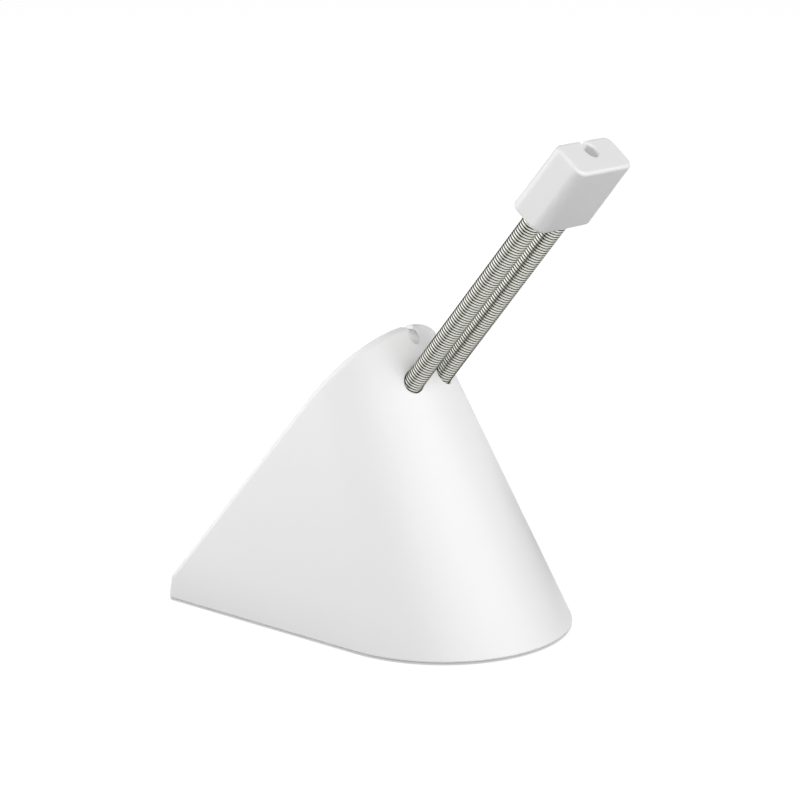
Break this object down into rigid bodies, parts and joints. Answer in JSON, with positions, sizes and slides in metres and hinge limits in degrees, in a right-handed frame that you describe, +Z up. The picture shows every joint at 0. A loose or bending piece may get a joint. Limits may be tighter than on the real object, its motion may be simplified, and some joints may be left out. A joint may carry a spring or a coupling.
{
  "type": "mouse bungee",
  "caption": "Weighted wedge-shaped desk stand with a leaning twin-spring arm and a slotted clip head that holds a computer mouse's cord up off the desk.",
  "frame": {"origin": "on the desk, under the middle of the whole object's box", "axes": "+X forward to the nose, the way the arm leans; +Y to the object's left; +Z up"},
  "size_m": [0.1286, 0.0752, 0.1419],
  "materials": {
    "white_abs": "satin moulded",
    "black_abs": "fine moulded texture",
    "spring_steel": "drawn wire, nickel plated",
    "plain_steel": "sawn and tumbled",
    "zinc_screw": "zinc plated",
    "foot_rubber": "matte"
  },
  "bodies": {
    "base": {"shell": "white_abs", "base_plate": "black_abs", "steel_weight": "plain_steel", "weight_screws": "zinc_screw", "base_screws": "zinc_screw", "spring_anchor": "black_abs", "anchor_screws": "zinc_screw", "foot_front_left": "foot_rubber", "foot_front_right": "foot_rubber", "foot_rear_left": "foot_rubber", "foot_rear_right": "foot_rubber"},
    "springs": {"spring_left": "spring_steel", "spring_right": "spring_steel"},
    "head": {"clip_head": "white_abs"}
  },
  "joints": [
    {"name": "arm_flex", "type": "hinge", "parent": "base", "child": "springs", "pos_m": [0.01411, 0, 0.08194], "axis": [0, 1, 0], "range_deg": [-20, 35], "stiffness_Nm_per_rad": 0.06, "springref_deg": -3.38, "deforming": ["spring_left", "spring_right"]},
    {"name": "arm_sway", "type": "slide", "parent": "springs", "child": "head", "axis": [0, 1, 0], "range_m": [-0.009, 0.009], "stiffness_N_per_m": 60, "deforming": ["spring_left", "spring_right"]}
  ]
}
